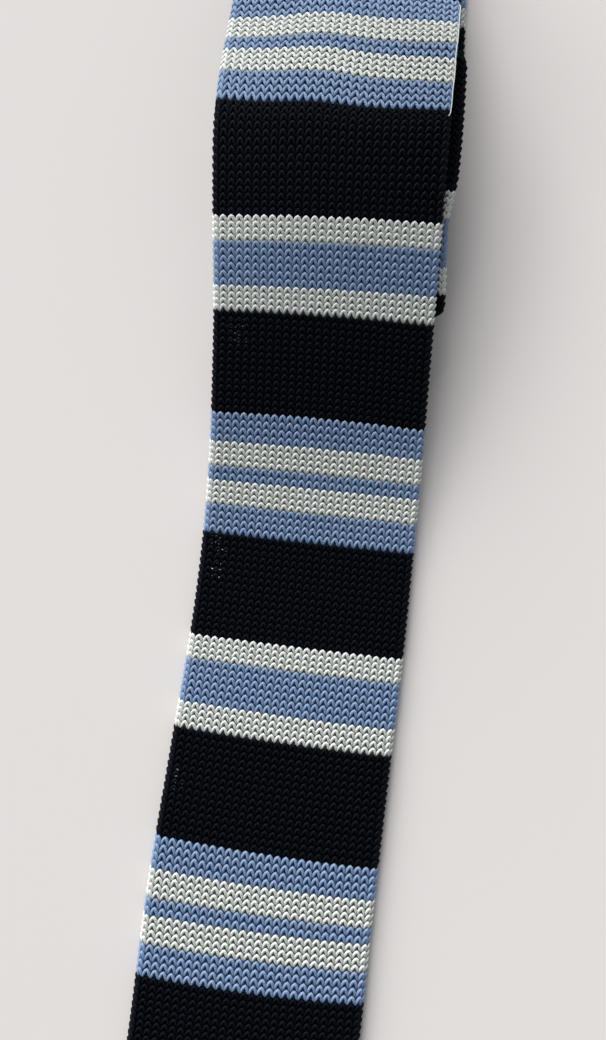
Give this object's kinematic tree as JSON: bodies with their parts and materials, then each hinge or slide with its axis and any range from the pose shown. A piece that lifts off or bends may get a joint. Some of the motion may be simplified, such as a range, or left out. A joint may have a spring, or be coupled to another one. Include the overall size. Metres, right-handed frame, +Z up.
{
  "type": "knit tie",
  "caption": "Long striped necktie of jersey knit with square ends, laid folded at the neck with the front blade on top and the tail blade folded up under it.",
  "frame": {"origin": "on the surface that the tie lies on, under the middle of its bounding box", "axes": "+Y from the square ends towards the neck fold, +Z up from the surface, +X to the right of the front blade"},
  "size_m": [0.1034, 0.8208, 0.0282],
  "materials": {
    "navy_knit": "matte jersey knit of navy yarn, nearly black, with faint ribs of stitches",
    "blue_knit": "jersey knit of dusty blue yarn with a soft sheen on each stitch",
    "cream_knit": "jersey knit of cream yarn with a soft sheen on each stitch"
  },
  "bodies": {
    "root": {"front_blade": "blue_knit", "neck_band": "navy_knit", "tail_blade": "navy_knit"}
  },
  "joints": []
}
